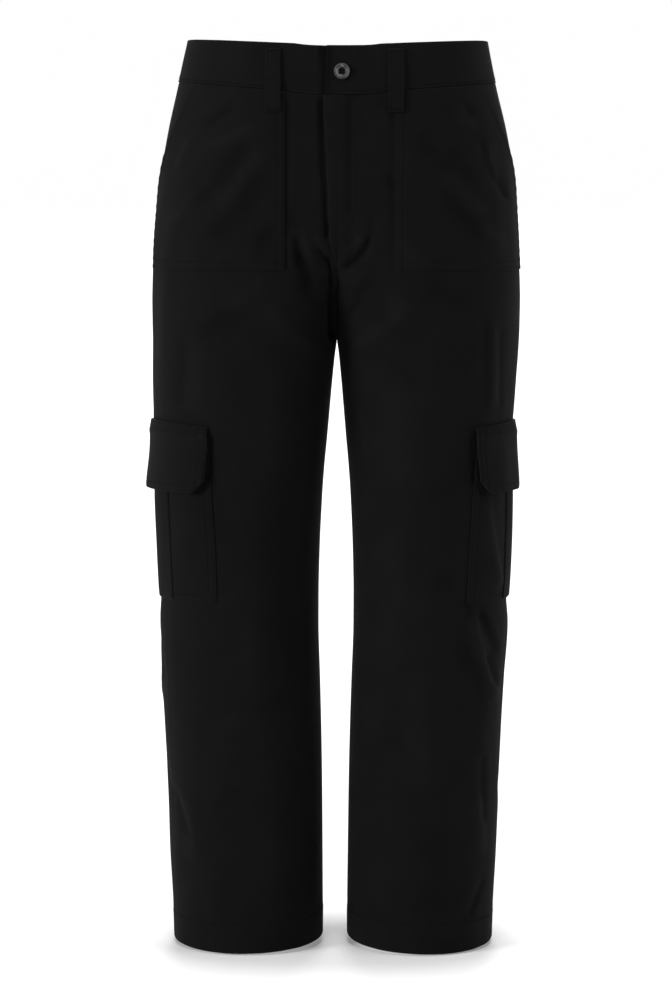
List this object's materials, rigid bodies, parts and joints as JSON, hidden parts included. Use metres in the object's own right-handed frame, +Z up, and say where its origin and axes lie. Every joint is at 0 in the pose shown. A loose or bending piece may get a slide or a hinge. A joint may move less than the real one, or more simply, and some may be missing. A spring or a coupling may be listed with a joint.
{
  "type": "cargo pants",
  "caption": "Straight cropped black twill cargo pants filled out as worn, with a buttoned waistband, belt loops, front patch pockets and flapped side pockets.",
  "frame": {"origin": "centre of the waist opening, level with the top of the waistband, where the wearer holds the pants up", "axes": "+Z up along the wearer, -Y to the wearer's front, +X to the wearer's left"},
  "size_m": [0.3804, 0.2519, 0.9229],
  "materials": {
    "twill": "matt black cotton twill",
    "button_metal": "dark gunmetal"
  },
  "bodies": {
    "root": {"waistband": "twill", "front_panel_right": "twill", "back_panel_right": "twill", "front_pocket_right": "twill", "cargo_pocket_right": "twill", "cargo_pleat_right": "twill", "cargo_flap_right": "twill", "belt_loop_front_right": "twill", "belt_loop_back_right": "twill", "front_panel_left": "twill", "back_panel_left": "twill", "front_pocket_left": "twill", "cargo_pocket_left": "twill", "cargo_pleat_left": "twill", "cargo_flap_left": "twill", "belt_loop_front_left": "twill", "belt_loop_back_left": "twill", "belt_loop_centre_back": "twill", "waist_button": "button_metal"}
  },
  "joints": []
}
